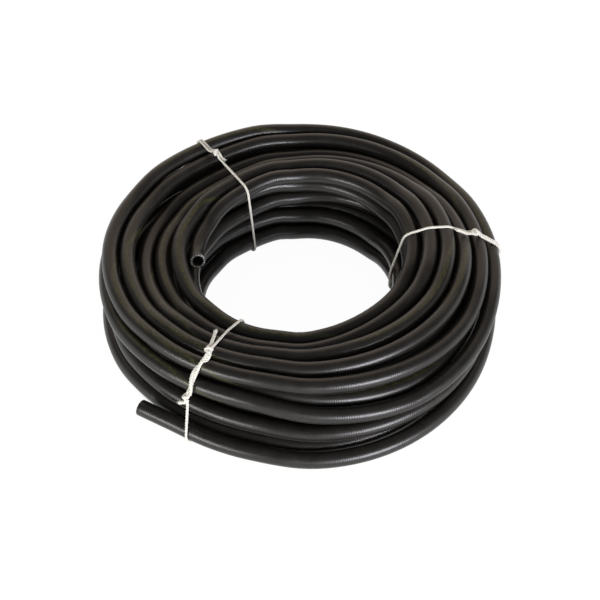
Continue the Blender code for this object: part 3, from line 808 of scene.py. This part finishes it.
def make_string(coil, settings, tie, material):
    """One string, its plies twisted, with its knots and frayed tails."""
    string = settings.string
    line = StringLine(coil, settings, tie)
    way, fullness = knotted_way(line, tie, string.diameter)
    way = soften(way, 2)
    walked = walked_along(way)
    stations, way = eased(way, STRING_RINGS)
    fullness = np.interp(stations, walked, soften(fullness, 12))
    along, side, facing = carried_frames(way, line.across)
    around = np.arange(STRING_SIDES) / STRING_SIDES
    twisted = TURN * string.plies * (around[None, :] - stations[:, None] / string.lay)
    radii = CREST * string.diameter * (1.0 - PLY_DEPTH + PLY_DEPTH * np.cos(twisted))
    # The cotton is uneven, and swells towards its cut ends
    draws = random.Random(tie["name"])
    wave = 1.0 + 0.035 * np.sin(stations / (7.0 * MM) + draws.uniform(0, TURN))
    wave += 0.03 * np.sin(stations / (3.1 * MM) + draws.uniform(0, TURN))
    radii *= (wave * fullness)[:, None]
    for end in (0, -1):
        near = np.abs(stations - stations[end])
        radii *= (1.0 + 0.22 * np.exp(-(near / (3.0 * MM)) ** 2))[:, None]
    # One more row at each end closes the skin
    ends = ((1, 1), (0, 0))
    rows = [np.pad(part, ends, "edge") for part in (way, side, facing)]
    marks = np.pad(stations, 1, "edge")
    bm = bmesh.new()
    lay_skin(bm, *rows, np.pad(radii, ends), marks, np.zeros(len(marks)))
    piece = show(tie["name"] + "_string", bm, material, tie["name"])
    bm = bmesh.new()
    add_fray(bm, way[0], -along[0], side[0], string, draws)
    add_fray(bm, way[-1], along[-1], side[-1], string, draws)
    fray = show(tie["name"] + "_fray", bm, material, tie["name"])


# ---- Operators

class COIL_OT_set_stage(bpy.types.Operator):
    """Set up the camera at the photograph's angle, the lamps and the pale floor"""
    bl_idname = "coil.set_stage"
    bl_label = "Set Stage"

    def execute(self, context):
        settings = context.scene.hose_coil
        stage = settings.stage
        coil = CoilPlace(settings)
        aim = Vector(coil.shift) + Vector((0.0, 0.0, AIM_HEIGHT))
        back = Vector((0.0, -math.cos(stage.elevation), math.sin(stage.elevation)))
        camera = place_new("camera", bpy.data.cameras.new("camera"))
        camera.data.sensor_width = SENSOR_WIDTH
        camera.data.lens = stage.lens
        camera.data.clip_start = 0.05
        camera.location = aim + back * stage.distance
        right = Vector((1.0, 0.0, 0.0))
        up = right.cross(-back)
        focal_pixels = stage.lens / SENSOR_WIDTH * PICTURE_WIDTH
        look = -back * focal_pixels + right * COIL_LEFT - up * COIL_ABOVE
        camera.rotation_mode = "QUATERNION"
        camera.rotation_quaternion = look.to_track_quat("-Z", "Y")
        context.scene.camera = camera

        bm = bmesh.new()
        bmesh.ops.create_grid(bm, x_segments=1, y_segments=1, size=FLOOR_REACH)
        bmesh.ops.translate(bm, verts=bm.verts, vec=(0.0, 0.0, -FLOOR_DROP))
        mesh = bpy.data.meshes.new("floor")
        bm.to_mesh(mesh)
        bm.free()
        shade_middle = tuple(coil.shift + np.array(SHADE_ASIDE))
        mesh.materials.append(studio_floor(stage.floor, shade_middle))
        floor = place_new("floor", mesh)

        for name, place, size, power, tint in LAMPS:
            light = bpy.data.lights.new(name, "AREA")
            light.shape = "RECTANGLE"
            light.size, light.size_y = size
            light.energy = power
            light.color = linear(tint)[:3]
            lamp = place_new(name, light)
            lamp.location = place
            lamp.rotation_mode = "QUATERNION"
            lamp.rotation_quaternion = (-Vector(place)).to_track_quat("-Z", "Y")

        world = bpy.data.worlds.new("studio_air")
        world.use_nodes = True
        tree = world.node_tree
        tree.nodes.clear()
        ray = add_node(tree, "LightPath").outputs
        mirrored = add_node(tree, "Math", [ray["Is Glossy Ray"], ray["Is Transmission Ray"]],
                            operation="MAXIMUM")
        way = add_node(tree, "TexCoord")
        rise = add_node(tree, "SeparateXYZ", [way.outputs["Generated"]]).outputs[2]
        shown = add_node(tree, "MapRange", [rise, *BACKDROP_RISE, BACKDROP_GLOW, ROOM_GLOW])
        felt = add_node(tree, "Mix", {0: mirrored, 2: AIR_GLOW, 3: shown}, data_type="FLOAT")
        strength = add_node(tree, "Mix", {0: ray["Is Camera Ray"], 2: felt, 3: 1.0}, data_type="FLOAT")
        air = add_node(tree, "Background", {"Color": (1.0, 1.0, 1.0, 1.0), "Strength": strength})
        add_node(tree, "OutputWorld", [air])
        context.scene.world = world
        context.scene.view_settings.view_transform = "Standard"
        return {"FINISHED"}


class COIL_OT_wind_hose(bpy.types.Operator):
    """Wind the hose: one tube along its settled route, with both mouths cut square"""
    bl_idname = "coil.wind_hose"
    bl_label = "Wind Hose"

    def execute(self, context):
        settings = context.scene.hose_coil
        hose = settings.hose
        coil = CoilPlace(settings)
        stations, way = eased(coil.route, hose.ring_spacing)
        along, outward, upward = level_frames(way)
        half, bore = hose.diameter / 2, hose.bore / 2
        last = len(way) - 1
        deep = round(hose.bore_depth / hose.ring_spacing)

        # Each mouth, from its bore to the cover: how far back from the cut, and the radius
        mouth = ((0.0, bore), (0.0, bore + BORE_EDGE), (0.0, half - COVER_EDGE),
                 (0.3 * COVER_EDGE, half - 0.3 * COVER_EDGE), (COVER_EDGE, half))
        # Rows of the tube: in from the bottom of one bore, out along the hose, into the other
        rows = [(deep, 0.0, 0.0, hose.bore_depth)]
        rows += [(i, 0.0, bore, stations[i]) for i in range(deep, 0, -1)]
        rows += [(0, back, radius, 0.0) for back, radius in mouth]
        rows += [(i, 0.0, half, stations[i]) for i in range(1, last)]
        rows += [(last, -back, radius, stations[-1]) for back, radius in reversed(mouth)]
        rows += [(i, 0.0, bore, stations[i]) for i in range(last - 1, last - deep - 1, -1)]
        rows.append((last - deep, 0.0, 0.0, stations[-1] - hose.bore_depth))
        at, back, radius, marks = (np.array(column) for column in zip(*rows))

        bm = bmesh.new()
        lay_skin(bm, way[at] + along[at] * back[:, None], outward[at], upward[at],
                 np.repeat(radius[:, None], HOSE_SIDES, axis=1), marks, line_facing(coil, marks), 0.0)
        piece = show("hose_coil", bm, cured_rubber(hose), "hose", 40.0)
        return {"FINISHED"}


def line_facing(coil, marks):
    """Turns by which the cover's pattern is rolled round the hose at each mark.

    The line faces up in the stretches that show it, and down in the others.
    """
    walked = walked_along(coil.route)
    loops = np.interp(marks, walked, coil.loops)
    places, rolled = [0.0], [0.9]
    for whole, (first, last) in enumerate(LINE_SHOWS):
        places += [first - LINE_TURNS_OVER, first, last, last + LINE_TURNS_OVER]
        rolled += [0.80 - whole, 0.27 - whole, 0.23 - whole, -0.25 - whole]
    # A quarter of a turn is up.  The line is drawn at half a turn, so it is rolled from there
    return 0.5 - np.interp(loops, places, rolled)


class COIL_OT_add_yarn_ends(bpy.types.Operator):
    """Set the cut ends of the reinforcing yarn into both mouths"""
    bl_idname = "coil.add_yarn_ends"
    bl_label = "Add Yarn Ends"

    def execute(self, context):
        settings = context.scene.hose_coil
        yarn = settings.yarn
        coil = CoilPlace(settings)
        _, way = eased(coil.route, settings.hose.ring_spacing)
        along, outward, upward = level_frames(way)
        material = cut_polyester(yarn)
        for node, end, sign in (("outer_end_yarns", 0, -1.0), ("inner_end_yarns", -1, 1.0)):
            draws = random.Random(node)
            facing = along[end] * sign
            bm = bmesh.new()
            # Each end is an oval bundle, a little off its even place, that stands proud and leans
            for k in range(yarn.count):
                angle = TURN * (k + draws.uniform(-0.18, 0.18)) / yarn.count
                spoke = math.cos(angle) * outward[end] + math.sin(angle) * upward[end]
                tangent = np.cross(facing, spoke)
                root = way[end] + spoke * (yarn.ring_diameter / 2 + draws.uniform(-0.15, 0.15) * MM)
                wide = yarn.thickness * draws.uniform(0.75, 1.25)
                thin = yarn.thickness * draws.uniform(0.40, 0.55)
                proud = draws.uniform(0.10, 0.38) * MM
                lean = tangent * draws.uniform(-0.25, 0.25) * MM
                depths = np.array([-2.0 * MM, -2.0 * MM, 0.0, 0.7 * proud, proud, proud])
                swell = np.array([0.0, 0.8, 1.0, 0.9, 0.55, 0.0])
                line = root + depths[:, None] * facing + lean * np.clip(depths, 0, None)[:, None] / MM
                ring = np.arange(10) / 10
                oval = np.hypot(wide * np.cos(TURN * ring), thin * np.sin(TURN * ring)) / 2
                oval *= 1.0 + 0.12 * np.cos(5 * TURN * ring)
                rows = len(depths)
                lay_skin(bm, line, np.tile(tangent, (rows, 1)), np.tile(spoke, (rows, 1)),
                         np.outer(swell, oval), depths, np.zeros(rows))
            show(node + "_cut", bm, material, node)
        return {"FINISHED"}


class COIL_OT_tie_strings(bpy.types.Operator):
    """Tie the three cotton strings round all the strands"""
    bl_idname = "coil.tie_strings"
    bl_label = "Tie Strings"

    def execute(self, context):
        settings = context.scene.hose_coil
        coil = CoilPlace(settings)
        material = twisted_cotton(settings.string)
        for tie in TIES:
            make_string(coil, settings, tie, material)
        return {"FINISHED"}


class CoilSettings(bpy.types.PropertyGroup):
    """All settings of the coil."""
    hose: bpy.props.PointerProperty(type=HoseSettings, name="Hose", description="The hose")
    yarn: bpy.props.PointerProperty(type=YarnSettings, name="Yarn", description="The yarn ends")
    string: bpy.props.PointerProperty(type=StringSettings, name="Strings", description="The strings")
    stage: bpy.props.PointerProperty(type=StageSettings, name="Stage", description="The stage")


class COIL_PT_panel(bpy.types.Panel):
    """Settings and steps of the tied hose coil"""
    bl_idname = "COIL_PT_panel"
    bl_label = "Hose Coil"
    bl_space_type = "VIEW_3D"
    bl_region_type = "UI"
    bl_category = "Hose Coil"

    def draw(self, context):
        settings = context.scene.hose_coil
        for group in ("stage", "hose", "yarn", "string"):
            box = self.layout.box()
            box.label(text=group.capitalize())
            values = getattr(settings, group)
            for key in values.bl_rna.properties.keys():
                if key not in ("name", "rna_type"):
                    box.prop(values, key)
        for step in STEPS:
            self.layout.operator(step.bl_idname)


STEPS = (COIL_OT_set_stage, COIL_OT_wind_hose, COIL_OT_add_yarn_ends, COIL_OT_tie_strings)
CLASSES = (HoseSettings, YarnSettings, StringSettings, StageSettings, CoilSettings, *STEPS,
           COIL_PT_panel)


def register():
    for item in CLASSES:
        bpy.utils.register_class(item)
    bpy.types.Scene.hose_coil = bpy.props.PointerProperty(type=CoilSettings)


def unregister():
    del bpy.types.Scene.hose_coil
    for item in reversed(CLASSES):
        bpy.utils.unregister_class(item)


def main():
    register()
    bpy.ops.coil.set_stage()
    bpy.ops.coil.wind_hose()
    bpy.ops.coil.add_yarn_ends()
    bpy.ops.coil.tie_strings()
    bpy.context.view_layer.update()


if __name__ == "__main__":
    main()
